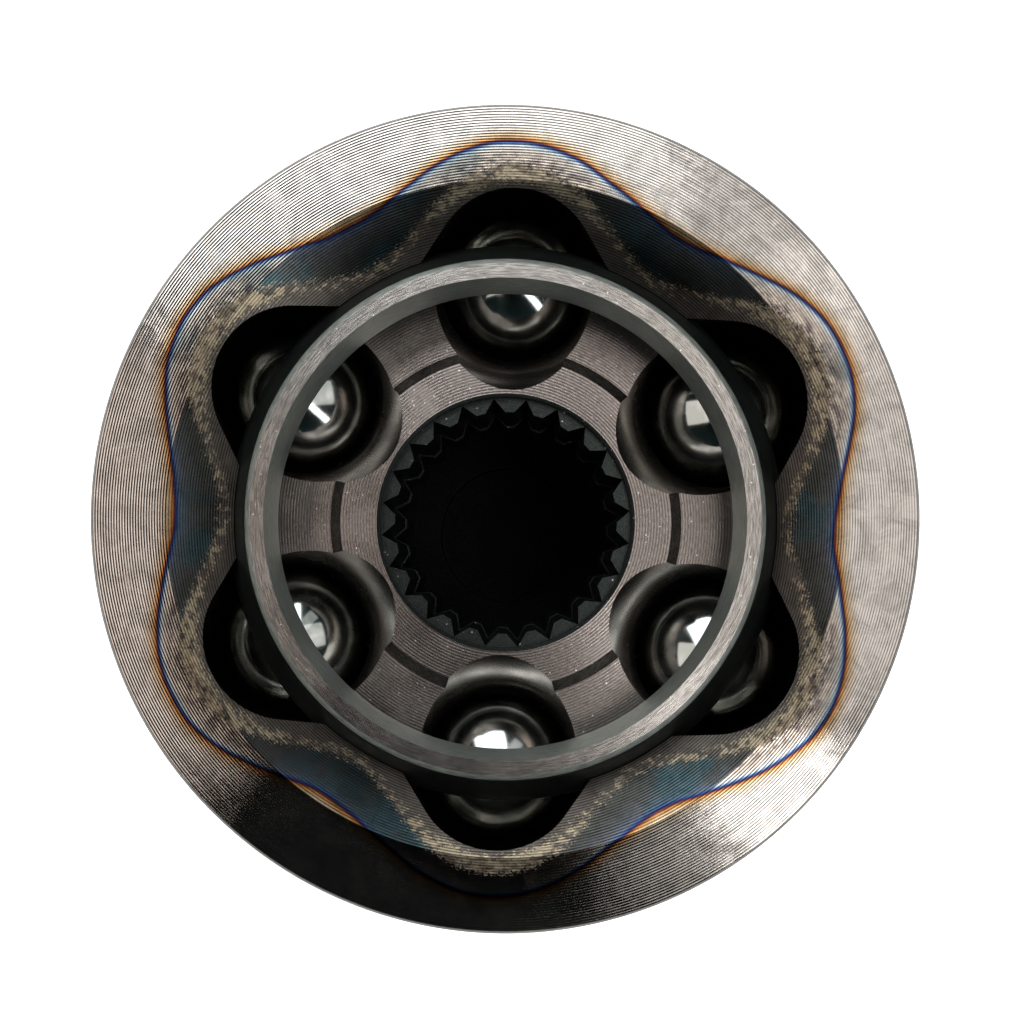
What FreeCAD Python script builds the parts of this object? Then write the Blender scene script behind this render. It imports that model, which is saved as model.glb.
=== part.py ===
import FreeCAD, Part
import os
import re

import Sketcher
from FreeCAD import Placement, Rotation, Vector

# Fixed constant-velocity joint (six-ball Rzeppa type) for the wheel end of a front drive shaft.
#
# Frame: millimetres, origin at the joint centre, where both spheres and the ball circle are
# centred. +Z is the joint axis and points out of the mouth, towards the drive shaft. The stub
# shaft that goes into the wheel hub points to -Z. Ball 1 lies on +Y.
#
# outer_race  bell with six curved ball tracks, and the splined and threaded stub shaft
# inner_race  star with six curved grooves and the splined bore for the drive shaft
# cage        spherical ring with a window for each ball
# ball_1..    the balls
#
# The track curves of the two races are arcs whose centres lie track_offset above and below the
# joint centre. That offset keeps every ball in the plane that halves the joint angle.

SIZES = {
    # balls and their paths
    "ball_count": 6,
    "ball_diameter": 15.875,
    "ball_circle": 54,
    "track_offset": 2.5,
    "track_play": 0.34,
    "track_flank_angle": 34,
    "track_flank_reach": 1.0,
    "track_sweep": 140,
    # cage
    "cage_sphere": 60.8,
    "cage_wall": 4.0,
    "cage_width": 34.2,
    "cage_bore": 45.9,
    "cage_lead_width": 0.52,
    "cage_lead_depth": 2.3,
    "cage_edge_width": 0.52,
    "cage_edge_height": 0.38,
    "sphere_play": 0.1,
    "window_play": 0.35,
    "window_slack": 1.5,
    "window_corner": 3.5,
    # bell of the outer race
    "bell_diameter": 80,
    "mouth_height": 18,
    "mouth_cone_diameter": 65.2,
    "mouth_cone_angle": 50,
    "rim_chamfer": 0.35,
    "boot_seat_diameter": 77.2,
    "boot_seat_lip": 3.0,
    "boot_seat_width": 7.0,
    "boot_seat_slope": 0.9,
    "dome_start": 1.0,
    "land_depth": 18,
    "bowl_depth": 33,
    "bowl_floor_diameter": 32,
    "recess_diameter": 19.6,
    "recess_depth": 2.5,
    "neck_diameter": 46,
    "neck_fillet": 4,
    "shoulder_depth": 41,
    "shoulder_chamfer": 1.0,
    # stub shaft
    "journal_diameter": 28,
    "journal_length": 9,
    "journal_fillet": 1.5,
    "journal_chamfer": 0.5,
    "hub_spline_diameter": 26.2,
    "hub_spline_length": 42,
    "hub_spline_chamfer": 1.5,
    "hub_tooth_count": 22,
    "hub_tooth_height": 1.3,
    "hub_gap_angle": 30,
    "hub_gap_floor": 0.9,
    "undercut_diameter": 16.8,
    "undercut_length": 3.6,
    "thread_diameter": 20,
    "thread_length": 20,
    "thread_chamfer": 1.4,
    "centre_hole_diameter": 6.3,
    "centre_hole_angle": 30,
    # inner race
    "race_front": 10.4,
    "race_rear": 12.2,
    "race_edge": 0.4,
    "boss_diameter": 34.3,
    "boss_step": 1.0,
    "boss_slope": 1.2,
    "shaft_tooth_count": 24,
    "shaft_root_diameter": 26.1,
    "shaft_tip_diameter": 23.2,
    "shaft_gap_width": 2.05,
    "lead_diameter": 26.2,
    "lead_depth": 1.1,
    "bore_chamfer": 0.28,
    "clip_groove_diameter": 26.8,
    "clip_groove_start": 11.1,
    "clip_groove_width": 2.4,
}

# Sizes that follow from the ones above, as expressions for the sheet.
BALL_RADIUS = "ball_diameter / 2"
TRACK_RADIUS = "sqrt((ball_circle / 2)^2 + track_offset^2)"
TRACK_SECTION = f"({BALL_RADIUS} + track_play)"
CAGE_INNER = "(cage_sphere / 2 - cage_wall)"
BELL_SPHERE = "(cage_sphere / 2 + sphere_play)"
RACE_SPHERE = f"({CAGE_INNER} - sphere_play)"
NUDGE = 3.0  # how far a cutting tool runs past the face that it enters by

doc = FreeCAD.newDocument("cv_joint")
sheet = doc.addObject("Spreadsheet::Sheet", "Sizes")
for row, (alias, value) in enumerate(SIZES.items(), 1):
    sheet.set(f"A{row}", alias)
    sheet.set(f"B{row}", str(value))
    sheet.setAlias(f"B{row}", alias)
doc.recompute()


def bound(text):
    """The expression with the sheet's name before each size in it."""
    return re.sub(r"[a-z]+(?:_[a-z]+)+", lambda found: "Sizes." + found.group(0), text)


def number(text):
    """What an expression of sizes comes to now."""
    return float(sheet.evalExpression(text))


def origin_part(body, role):
    return next(o for o in body.Origin.OriginFeatures if o.Role == role)


def new_body(label):
    body = doc.addObject("PartDesign::Body", label)
    body.Label = label
    return body


def new_sketch(body, name, plane, height="0", turn="0"):
    """An empty sketch on one of the body's own origin planes, or above it and turned on it."""
    sketch = body.newObject("Sketcher::SketchObject", name)
    sketch.AttachmentSupport = [(origin_part(body, plane), "")]
    sketch.MapMode = "FlatFace"
    sketch.setExpression("AttachmentOffset.Base.z", bound(height))
    sketch.setExpression("AttachmentOffset.Rotation.Angle", bound(turn))
    return sketch


def pin_point(sketch, geometry, end, x, y, fixed="xy"):
    """Holds one point of the sketch at expressions x and y, or at only one of them."""
    for letter, text, axis, kind in (("x", x, -2, "DistanceX"), ("y", y, -1, "DistanceY")):
        if letter not in fixed:
            continue
        if text == "0":
            sketch.addConstraint(Sketcher.Constraint("PointOnObject", geometry, end, axis))
        else:
            rule = Sketcher.Constraint(kind, -1, 1, geometry, end, number(text))
            index = sketch.addConstraint(rule)
            sketch.setExpression(f"Constraints[{index}]", bound(text))


def hold_radius(sketch, geometry, radius):
    index = sketch.addConstraint(Sketcher.Constraint("Radius", geometry, number(radius)))
    sketch.setExpression(f"Constraints[{index}]", bound(radius))


def draw_circle(sketch, x, y, radius):
    centre = Vector(number(x), number(y), 0)
    circle = Part.Circle(centre, Vector(0, 0, 1), number(radius))
    index = sketch.addGeometry(circle, False)
    pin_point(sketch, index, 3, x, y)
    hold_radius(sketch, index, radius)


def draw_loop(sketch, points, arcs=()):
    """A closed outline through the points, each (x, y) or (x, y, which of them is held).

    arcs maps the number of a point to (centre x, centre y, radius, turn): the stretch from that
    point to the next is then an arc, anticlockwise for a turn of 1 and clockwise for -1. An arc
    that starts where another arc ends takes its radius from that point.
    """
    arcs = dict(arcs)
    places = [Vector(number(p[0]), number(p[1]), 0) for p in points]
    start_of, end_of = {}, {}
    for i, start in enumerate(places):
        finish = places[(i + 1) % len(places)]
        if i not in arcs:
            index = sketch.addGeometry(Part.LineSegment(start, finish), False)
            start_of[i], end_of[i] = (index, 1), (index, 2)
            continue
        centre_x, centre_y, radius, turn = arcs[i]
        centre = Vector(number(centre_x), number(centre_y), 0)
        first, last = (start, finish) if turn > 0 else (finish, start)
        circle = Part.Circle(centre, Vector(0, 0, 1), number(radius))
        arc = Part.ArcOfCircle(circle, circle.parameter(first), circle.parameter(last))
        index = sketch.addGeometry(arc, False)
        start_of[i] = (index, 1 if turn > 0 else 2)
        end_of[i] = (index, 2 if turn > 0 else 1)
        pin_point(sketch, index, 3, centre_x, centre_y)
        if (i - 1) % len(places) not in arcs:
            hold_radius(sketch, index, radius)
    for i, point in enumerate(points):
        joined = end_of[(i - 1) % len(points)] + start_of[i]
        sketch.addConstraint(Sketcher.Constraint("Coincident", *joined))
        pin_point(sketch, *start_of[i], *point)


def add_feature(body, kind, name, profile, axis=None, **settings):
    feature = body.newObject(kind, name)
    feature.Profile = profile
    if axis:
        feature.ReferenceAxis = (profile, [axis])
    for key, value in settings.items():
        setattr(feature, key, value)
    return feature


def repeat_round(body, name, feature, count):
    """The feature again at equal steps round the joint axis."""
    pattern = body.newObject("PartDesign::PolarPattern", name)
    pattern.Originals = [feature]
    pattern.Axis = (origin_part(body, "Z_Axis"), [""])
    pattern.Angle = 360
    pattern.setExpression("Occurrences", bound(count))
    body.Tip = pattern
    return pattern


def check_cuts(body):
    """Stops the build if a cut took nothing off, or if a feature failed."""
    doc.recompute()
    cutters = ("PartDesign::Groove", "PartDesign::Pocket", "PartDesign::PolarPattern")
    before = None
    for feature in body.Group:
        if feature.TypeId == "Sketcher::SketchObject":
            continue
        if feature.TypeId in cutters and feature.Shape.Volume > before - 1e-3:
            raise RuntimeError(f"{body.Label}: {feature.Name} cuts nothing")
        before = feature.Shape.Volume


def cut_tracks(body, name, section):
    """Ball tracks round the body. The section lies at the height of the tracks' own centre. It
    is turned about the line across the joint axis at that height, and repeated for every ball."""
    groove = add_feature(body, "PartDesign::Groove", name, section, "H_Axis", Midplane=True)
    groove.setExpression("Angle", bound("track_sweep"))
    repeat_round(body, f"{name}_all", groove, "ball_count")


# ---- outer race -------------------------------------------------------------------------------
# The bell's wall is a turned profile. It runs from the mouth cone over the rim, down the boot
# seat, the dome, the neck and the stub shaft, and comes back up the cavity.


def outer_race_profile(sketch):
    mouth = "mouth_height"
    rim = "(bell_diameter / 2)"
    seat = "(boot_seat_diameter / 2)"
    seat_top = f"({mouth} - boot_seat_lip)"
    seat_end = f"({seat_top} - 2 * boot_seat_slope - boot_seat_width)"
    neck = "(neck_diameter / 2)"
    # the fillet between dome and neck touches both, so its centre is one fillet radius outside each
    fillet_x = f"({neck} + neck_fillet)"
    fillet_reach = f"({rim} + neck_fillet)"
    fillet_y = f"(-dome_start - sqrt({fillet_reach}^2 - {fillet_x}^2))"
    touch_x = f"({fillet_x} * {rim} / {fillet_reach})"
    touch_y = f"(-dome_start + ({fillet_y} + dome_start) * {rim} / {fillet_reach})"
    journal = "(journal_diameter / 2)"
    journal_end = "(-shoulder_depth - journal_length)"
    spline = "(hub_spline_diameter / 2)"
    spline_end = f"({journal_end} - hub_spline_length)"
    undercut = "(undercut_diameter / 2)"
    undercut_end = f"({spline_end} - undercut_length)"
    thread = "(thread_diameter / 2)"
    stub_end = f"({undercut_end} - thread_length)"
    centre_hole = "(centre_hole_diameter / 2)"
    # the cone meets the bell's sphere where slope times height plus cone_zero gives the radius
    cone_edge = "(mouth_cone_diameter / 2)"
    cone_slope = "tan(mouth_cone_angle)"
    cone_zero = f"({cone_edge} - {mouth} * {cone_slope})"
    root = f"sqrt({BELL_SPHERE}^2 * (1 + {cone_slope}^2) - {cone_zero}^2)"
    cone_foot = f"((-{cone_zero} * {cone_slope} + {root}) / (1 + {cone_slope}^2))"
    bowl_floor = "(bowl_floor_diameter / 2)"
    recess = "(recess_diameter / 2)"
    points = [
        (cone_edge, mouth),
        (f"{rim} - rim_chamfer", mouth),
        (rim, f"{mouth} - rim_chamfer"),
        (rim, seat_top),
        (seat, f"{seat_top} - boot_seat_slope"),
        (seat, f"{seat_end} + boot_seat_slope"),
        (rim, seat_end),
        (rim, "-dome_start", "y"),
        (touch_x, touch_y, "x"),
        (neck, fillet_y, "y"),
        (neck, "-shoulder_depth + shoulder_chamfer"),
        (f"{neck} - shoulder_chamfer", "-shoulder_depth"),
        (f"{journal} + journal_fillet", "-shoulder_depth", "x"),
        (journal, "-shoulder_depth - journal_fillet", "y"),
        (journal, f"{journal_end} + journal_chamfer"),
        (f"{journal} - journal_chamfer", journal_end),
        (spline, journal_end),
        (spline, f"{spline_end} + hub_spline_chamfer"),
        (f"{spline} - hub_spline_chamfer", spline_end),
        (undercut, spline_end),
        (undercut, undercut_end),
        (f"{thread} - thread_chamfer", undercut_end),
        (thread, f"{undercut_end} - thread_chamfer"),
        (thread, f"{stub_end} + thread_chamfer"),
        (f"{thread} - thread_chamfer", stub_end),
        (centre_hole, stub_end),
        ("0", f"{stub_end} + {centre_hole} / tan(centre_hole_angle)"),
        ("0", "-bowl_depth - recess_depth"),
        (recess, "-bowl_depth - recess_depth"),
        (recess, "-bowl_depth"),
        (bowl_floor, "-bowl_depth"),
        (f"sqrt({BELL_SPHERE}^2 - land_depth^2)", "-land_depth", "y"),
        (f"sqrt({BELL_SPHERE}^2 - {cone_foot}^2)", cone_foot, "y"),
    ]
    arcs = {
        7: ("0", "-dome_start", rim, -1),
        8: (fillet_x, fillet_y, "neck_fillet", 1),
        12: (
            f"{journal} + journal_fillet",
            "-shoulder_depth - journal_fillet",
            "journal_fillet",
            1,
        ),
        31: ("0", "0", BELL_SPHERE, 1),
    }
    draw_loop(sketch, points, arcs)


def cut_hub_spline(body):
    """The gaps between the teeth of the stub shaft, open towards its threaded end."""
    tip = "(hub_spline_diameter / 2 + 1)"
    root = "(hub_spline_diameter / 2 - hub_tooth_height)"
    half_floor = "hub_gap_floor / 2"
    half_top = "(hub_gap_floor / 2 + (hub_tooth_height + 1) * tan(hub_gap_angle))"
    spline_end = "(-shoulder_depth - journal_length - hub_spline_length)"
    sketch = new_sketch(body, "hub_spline_gap", "XY_Plane", f"{spline_end} - {NUDGE / 2}")
    draw_loop(
        sketch,
        [
            (f"-{half_floor}", root),
            (half_floor, root),
            (half_top, tip),
            (f"-{half_top}", tip),
        ],
    )
    gap = add_feature(body, "PartDesign::Pocket", "hub_spline", sketch, Reversed=True)
    gap.setExpression("Length", bound(f"hub_spline_length + {NUDGE / 2}"))
    repeat_round(body, "hub_spline_all", gap, "hub_tooth_count")


def make_outer_race():
    body = new_body("outer_race")
    sketch = new_sketch(body, "bell_and_stub_profile", "XZ_Plane")
    outer_race_profile(sketch)
    add_feature(body, "PartDesign::Revolution", "bell_and_stub", sketch, "V_Axis", Angle=360)
    # Track section: a round floor, and straight flanks that open towards the joint axis. The
    # flanks start where the round floor has turned to their own angle.
    side_x = f"({TRACK_SECTION} * cos(track_flank_angle))"
    side_y = f"({TRACK_RADIUS} + {TRACK_SECTION} * sin(track_flank_angle))"
    foot_y = f"({TRACK_RADIUS} - track_flank_reach)"
    foot_x = f"({side_x} + ({side_y} - {foot_y}) * tan(track_flank_angle))"
    outline = [
        (side_x, side_y, "x"),
        (f"-{side_x}", side_y, "x"),
        (f"-{foot_x}", foot_y),
        (foot_x, foot_y),
    ]
    section = new_sketch(body, "outer_track_section", "XY_Plane", "track_offset")
    draw_loop(section, outline, {0: ("0", TRACK_RADIUS, TRACK_SECTION, 1)})
    cut_tracks(body, "outer_track", section)
    cut_hub_spline(body)
    check_cuts(body)
    return body


# ---- inner race -------------------------------------------------------------------------------


def make_inner_race():
    body = new_body("inner_race")
    sketch = new_sketch(body, "star_profile", "XZ_Plane")
    front = "race_front"
    land = "(race_front - boss_step)"
    boss = "(boss_diameter / 2)"
    bore = "(shaft_tip_diameter / 2)"
    lead = "(lead_diameter / 2)"
    lead_end = f"({front} - lead_depth)"
    groove = "(clip_groove_diameter / 2)"
    groove_top = f"({front} - clip_groove_start)"
    groove_end = f"({groove_top} - clip_groove_width)"
    rear = "(-race_rear)"
    rear_edge = f"sqrt({RACE_SPHERE}^2 - (race_rear - race_edge)^2)"
    front_edge = f"sqrt({RACE_SPHERE}^2 - ({land} - race_edge)^2)"
    draw_loop(
        sketch,
        [
            (f"{lead} + bore_chamfer", front),
            (lead, f"{front} - bore_chamfer"),
            (lead, lead_end),
            (bore, lead_end),
            (bore, groove_top),
            (groove, groove_top),
            (groove, groove_end),
            (bore, groove_end),
            (bore, f"{rear} + lead_depth"),
            (lead, rear),
            (f"{rear_edge} - race_edge", rear),
            (rear_edge, f"{rear} + race_edge", "y"),
            (front_edge, f"{land} - race_edge", "y"),
            (f"{front_edge} - race_edge", land),
            (f"{boss} + boss_slope", land),
            (boss, front),
        ],
        {11: ("0", "0", RACE_SPHERE, 1)},
    )
    add_feature(body, "PartDesign::Revolution", "star_blank", sketch, "V_Axis", Angle=360)
    # spline gap: a sharp V whose flanks go on into the bore, half a pitch from the ball's line
    above = f"{front} + {NUDGE}"
    sketch = new_sketch(body, "shaft_spline_gap", "XY_Plane", above, "180 / shaft_tooth_count")
    root = "(shaft_root_diameter / 2)"
    half = f"(shaft_gap_width / 2 * ({root} - {bore} + 1) / ({root} - {bore}))"
    gap_foot = f"({bore} - 1)"
    draw_loop(sketch, [("0", root), (f"-{half}", gap_foot), (half, gap_foot)])
    gap = add_feature(body, "PartDesign::Pocket", "shaft_spline", sketch)
    gap.setExpression("Length", bound(f"race_front + race_rear + {2 * NUDGE}"))
    repeat_round(body, "shaft_spline_all", gap, "shaft_tooth_count")
    # ball grooves: a round section, of which the star only holds the half nearer to the axis
    section = new_sketch(body, "inner_groove_section", "XY_Plane", "-track_offset")
    draw_circle(section, "0", TRACK_RADIUS, TRACK_SECTION)
    cut_tracks(body, "inner_groove", section)
    check_cuts(body)
    return body


# ---- cage -------------------------------------------------------------------------------------


def make_cage():
    body = new_body("cage")
    outside = "(cage_sphere / 2)"
    half = "(cage_width / 2)"
    bore = "(cage_bore / 2)"
    lead = f"({bore} + cage_lead_width)"
    lead_foot = f"({half} - cage_lead_depth)"
    edge_foot = f"({half} - cage_edge_height)"
    end_edge = f"sqrt({outside}^2 - {edge_foot}^2)"
    face_edge = f"({end_edge} - cage_edge_width)"
    bore_edge = f"sqrt({CAGE_INNER}^2 - {bore}^2)"
    sketch = new_sketch(body, "cage_profile", "XZ_Plane")
    draw_loop(
        sketch,
        [
            (end_edge, f"-{edge_foot}", "y"),
            (end_edge, edge_foot, "y"),
            (face_edge, half),
            (lead, half),
            (bore, lead_foot),
            (bore, bore_edge, "x"),
            (bore, f"-{bore_edge}", "x"),
            (bore, f"-{lead_foot}"),
            (lead, f"-{half}"),
            (face_edge, f"-{half}"),
        ],
        {0: ("0", "0", outside, 1), 5: ("0", "0", CAGE_INNER, -1)},
    )
    add_feature(body, "PartDesign::Revolution", "cage_ring", sketch, "V_Axis", Angle=360)
    # Windows: as high as a ball with its play, and wider by the distance that the balls wander
    # round the ring when the joint is bent.
    sketch = new_sketch(body, "window_outline", "XZ_Plane")
    high = f"({BALL_RADIUS} + window_play)"
    wide = f"({BALL_RADIUS} + window_slack)"
    inner_high = f"({high} - window_corner)"
    inner_wide = f"({wide} - window_corner)"
    corners = ((1, 1), (-1, 1), (-1, -1), (1, -1))
    points, arcs = [], {}
    for turn, (side, up) in enumerate(corners):
        x_sign, y_sign = ("" if side > 0 else "-"), ("" if up > 0 else "-")
        flat_end = (f"{x_sign}{wide}", f"{y_sign}{inner_high}")
        level_end = (f"{x_sign}{inner_wide}", f"{y_sign}{high}")
        first, last = (flat_end, level_end) if side == up else (level_end, flat_end)
        first_held, last_held = ("y", "x") if side == up else ("x", "y")
        arcs[2 * turn] = (f"{x_sign}{inner_wide}", f"{y_sign}{inner_high}", "window_corner", 1)
        points += [(*first, first_held), (*last, last_held)]
    draw_loop(sketch, points, arcs)
    window = add_feature(body, "PartDesign::Pocket", "window", sketch, Reversed=False)
    window.setExpression("Length", bound("cage_sphere"))
    repeat_round(body, "window_all", window, "ball_count")
    check_cuts(body)
    return body


# ---- balls ------------------------------------------------------------------------------------


def make_ball(number_in_ring):
    label = f"ball_{number_in_ring}"
    ball = doc.addObject("Part::Sphere", label)
    ball.Label = label
    angle = f"(90 + {number_in_ring - 1} * 360 / ball_count)"
    ball.setExpression("Radius", bound(BALL_RADIUS))
    ball.setExpression("Placement.Base.x", bound(f"ball_circle / 2 * cos({angle})"))
    ball.setExpression("Placement.Base.y", bound(f"ball_circle / 2 * sin({angle})"))
    return ball


def write_parts(parts):
    doc.recompute()
    for thing in doc.Objects:
        if "Invalid" in thing.State or "Error" in thing.State:
            raise RuntimeError(f"{thing.Name} failed: {thing.State}")
    os.makedirs("parts", exist_ok=True)
    for part in parts:
        shape = part.Shape
        if shape.isNull() or not shape.isValid() or not shape.Solids:
            raise RuntimeError(f"{part.Label} is not a valid solid")
        shape.exportStep(f"parts/{part.Label}.step")
        print(part.Label, "solids", len(shape.Solids), "volume", round(shape.Volume, 1))


balls = [make_ball(n + 1) for n in range(SIZES["ball_count"])]
write_parts([make_outer_race(), make_inner_race(), make_cage(), *balls])
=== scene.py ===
import math

import bmesh
import bpy
from mathutils import Matrix, Vector


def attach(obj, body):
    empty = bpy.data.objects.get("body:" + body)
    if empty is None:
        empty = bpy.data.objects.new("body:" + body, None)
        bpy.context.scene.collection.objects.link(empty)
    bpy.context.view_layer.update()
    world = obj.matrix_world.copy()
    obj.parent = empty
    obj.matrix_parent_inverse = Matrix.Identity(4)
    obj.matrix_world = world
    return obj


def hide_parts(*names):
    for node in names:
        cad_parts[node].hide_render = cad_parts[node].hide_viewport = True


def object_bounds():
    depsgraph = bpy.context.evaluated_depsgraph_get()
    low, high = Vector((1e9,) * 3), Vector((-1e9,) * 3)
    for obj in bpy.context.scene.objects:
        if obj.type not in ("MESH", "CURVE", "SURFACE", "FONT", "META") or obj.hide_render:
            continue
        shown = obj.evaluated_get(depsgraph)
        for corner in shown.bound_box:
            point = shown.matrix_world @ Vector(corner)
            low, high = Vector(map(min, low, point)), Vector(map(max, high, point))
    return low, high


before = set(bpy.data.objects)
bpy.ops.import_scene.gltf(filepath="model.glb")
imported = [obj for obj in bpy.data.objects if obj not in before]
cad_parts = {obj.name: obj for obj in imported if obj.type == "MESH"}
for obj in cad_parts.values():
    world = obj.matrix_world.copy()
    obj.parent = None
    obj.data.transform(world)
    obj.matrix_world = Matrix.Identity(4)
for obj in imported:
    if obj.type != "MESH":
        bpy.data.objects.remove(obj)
cadBox = [list(corner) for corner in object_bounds()]
print("frame loaded")

# Lengths are in millimetres, except where a comment says metres. Meshes are scaled to metres as
# they are made.
mm = 0.001

# Distances in metres at which points, or a point and a plane, count as touching.
touching = {"points": 1e-7, "thinFace": 1e-8, "wedgeEnd": 2e-7, "wedges": 1e-6}

# What several pieces share: the balls, their circle and the curved tracks.
joint = {
    "ballCount": 6,
    "ballRadius": 7.9375,
    "ballCircleRadius": 27.0,
    "trackOffset": 2.5,      # how far a track's centre lies above or below the joint's centre
    "trackPlay": 0.34,
}
trackPathRadius = math.hypot(joint["ballCircleRadius"], joint["trackOffset"])
trackSectionRadius = joint["ballRadius"] + joint["trackPlay"]
ballPitch = 360 / joint["ballCount"]
jointCentre = (0, 0)
trackCentre = (0, trackPathRadius)


def arcPoints(centre, radius, startAngle, endAngle, steps):
    points = []
    for i in range(steps + 1):
        angle = math.radians(startAngle + (endAngle - startAngle) * i / steps)
        points.append((centre[0] + radius * math.cos(angle), centre[1] + radius * math.sin(angle)))
    return points


def angleTo(centre, point):
    return math.degrees(math.atan2(point[1] - centre[1], point[0] - centre[0]))


def newObject(name, data):
    obj = bpy.data.objects.new(name, data)
    bpy.context.scene.collection.objects.link(obj)
    return obj


def meshObject(name, verts, faces):
    mesh = bpy.data.meshes.new(name)
    mesh.from_pydata([[length * mm for length in vert] for vert in verts], [], faces)
    bm = bmesh.new()
    bm.from_mesh(mesh)
    bmesh.ops.remove_doubles(bm, verts=bm.verts, dist=touching["points"])
    bmesh.ops.dissolve_degenerate(bm, edges=bm.edges, dist=touching["thinFace"])
    bmesh.ops.recalc_face_normals(bm, faces=bm.faces)
    bm.to_mesh(mesh)
    bm.free()
    return newObject(name, mesh)


# The faces of a closed body whose points stand in rows of count, one row more than steps.
def rowFaces(count, steps):
    faces = []
    for step in range(steps):
        for i in range(count):
            here, beside = step * count + i, step * count + (i + 1) % count
            faces.append((here, beside, beside + count, here + count))
    faces.append(tuple(reversed(range(count))))
    faces.append(tuple(range(steps * count, (steps + 1) * count)))
    return faces


# A closed outline of (radius, height) points, turned through a wedge of the given width about
# the joint axis. The wedge is centred on +Y and closed at both cut faces.
def turnedWedge(name, outline, width, steps):
    verts = []
    for step in range(steps + 1):
        angle = math.radians(90 - width / 2 + width * step / steps)
        for radius, height in outline:
            verts.append((radius * math.cos(angle), radius * math.sin(angle), height))
    return meshObject(name, verts, rowFaces(len(outline), steps))


# A closed section of (side, reach) points, swept about a line across the joint axis at the given
# height: the shape that a ball's track takes out of a race.
def sweptTrack(name, section, height, fromAngle, toAngle, steps):
    verts = []
    for step in range(steps + 1):
        angle = math.radians(fromAngle + (toAngle - fromAngle) * step / steps)
        for side, reach in section:
            verts.append((side, reach * math.cos(angle), height + reach * math.sin(angle)))
    return meshObject(name, verts, rowFaces(len(section), steps))


# A prism with the outline in the XY plane, or upright facing +Y.
def prism(name, outline, low, high, upright=False):
    verts = [(x, y, low) for x, y in outline] + [(x, y, high) for x, y in outline]
    if upright:
        verts = [(x, z, y) for x, y, z in verts]
    return meshObject(name, verts, rowFaces(len(outline), 1))


def cutAway(obj, tools):
    for tool in tools:
        cut = obj.modifiers.new("cut", "BOOLEAN")
        cut.operation = "DIFFERENCE"
        cut.solver = "EXACT"
        cut.object = tool
        graph = bpy.context.evaluated_depsgraph_get()
        made = bpy.data.meshes.new_from_object(obj.evaluated_get(graph))
        obj.modifiers.remove(cut)
        old = obj.data
        obj.data = made
        bpy.data.meshes.remove(old)
        bpy.data.meshes.remove(tool.data)
    return obj


# Takes the cut faces off a wedge and repeats it round the axis into one closed mesh.
def repeatWedge(obj, width):
    bm = bmesh.new()
    bm.from_mesh(obj.data)
    limits = [math.radians(90 - width / 2), math.radians(90 + width / 2)]
    ends = []
    for face in bm.faces:
        for limit in limits:
            across = Vector((-math.sin(limit), math.cos(limit), 0))
            if all(abs(vert.co.dot(across)) < touching["wedgeEnd"] for vert in face.verts):
                ends.append(face)
                break
    bmesh.ops.delete(bm, geom=ends, context="FACES")
    wedge = list(bm.verts) + list(bm.edges) + list(bm.faces)
    for turn in range(1, round(360 / width)):
        copy = bmesh.ops.duplicate(bm, geom=wedge)
        moved = [item for item in copy["geom"] if isinstance(item, bmesh.types.BMVert)]
        spin = Matrix.Rotation(math.radians(width * turn), 3, "Z")
        bmesh.ops.rotate(bm, verts=moved, cent=(0, 0, 0), matrix=spin)
    bmesh.ops.remove_doubles(bm, verts=bm.verts, dist=touching["wedges"])
    bmesh.ops.recalc_face_normals(bm, faces=bm.faces)
    bm.to_mesh(obj.data)
    bm.free()
    return obj


# Marks each face with the finish of its surface: turned faces lie on the outline and take the
# finish of that stretch, and the rest was cut by a tool.
def markFinish(obj, outline, turnedFinish, cutFinish):
    onOutline = 0.05
    count = len(outline)
    for face in obj.data.polygons:
        centre = face.center / mm
        spot = Vector((math.hypot(centre.x, centre.y), centre.z))
        nearest, finish = onOutline, cutFinish(spot)
        for i in range(count):
            start, end = Vector(outline[i]), Vector(outline[(i + 1) % count])
            run = end - start
            along = min(1, max(0, (spot - start).dot(run) / max(run.length_squared, 1e-9)))
            gap = (spot - start - run * along).length
            if gap < nearest:
                nearest, finish = gap, turnedFinish(start, end)
        face.material_index = finish


# Edges sharper than the angle stay crisp.
def smoothTo(obj, degrees):
    obj.data.shade_smooth()
    obj.data.set_sharp_from_angle(angle=math.radians(degrees))


bell = {
    "mouthHeight": 18.0,
    "mouthConeRadius": 32.6,
    "mouthConeAngle": 50.0,
    "outerRadius": 39.98,
    "rimChamfer": 0.35,
    "sphereRadius": 30.5,
    "bootSeatRadius": 38.6,
    "bootSeatLip": 3.0,
    "bootSeatWidth": 7.0,
    "bootSeatSlope": 0.9,
    "domeCentre": -1.0,
    "neckRadius": 23.0,
    "neckFillet": 4.0,
    "shoulderHeight": -41.0,
    "shoulderChamfer": 1.0,
    "landDepth": -18.0,
    "bowlDepth": -33.0,
    "bowlFloorRadius": 16.0,
    "recessRadius": 9.8,
    "recessDepth": 2.5,
    "backWall": 1.5,         # steel behind the recess
    "backHoleRadius": 12.0,  # the back is open under the stub shaft, which covers it
    "flankAngle": 34.0,
    "flankReach": 1.0,
    "trackSweep": (-62, 70),
    "cavityWall": 2.0,       # what lies this far within the outside is the cavity
    "cavityDrop": 4.0,       # and this far below the mouth
    "wedgeSteps": 48,
    "arcSteps": 24,
    "filletSteps": 6,
    "floorSteps": 40,
    "trackSteps": 66,
    "crispAngle": 22,
}


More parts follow.
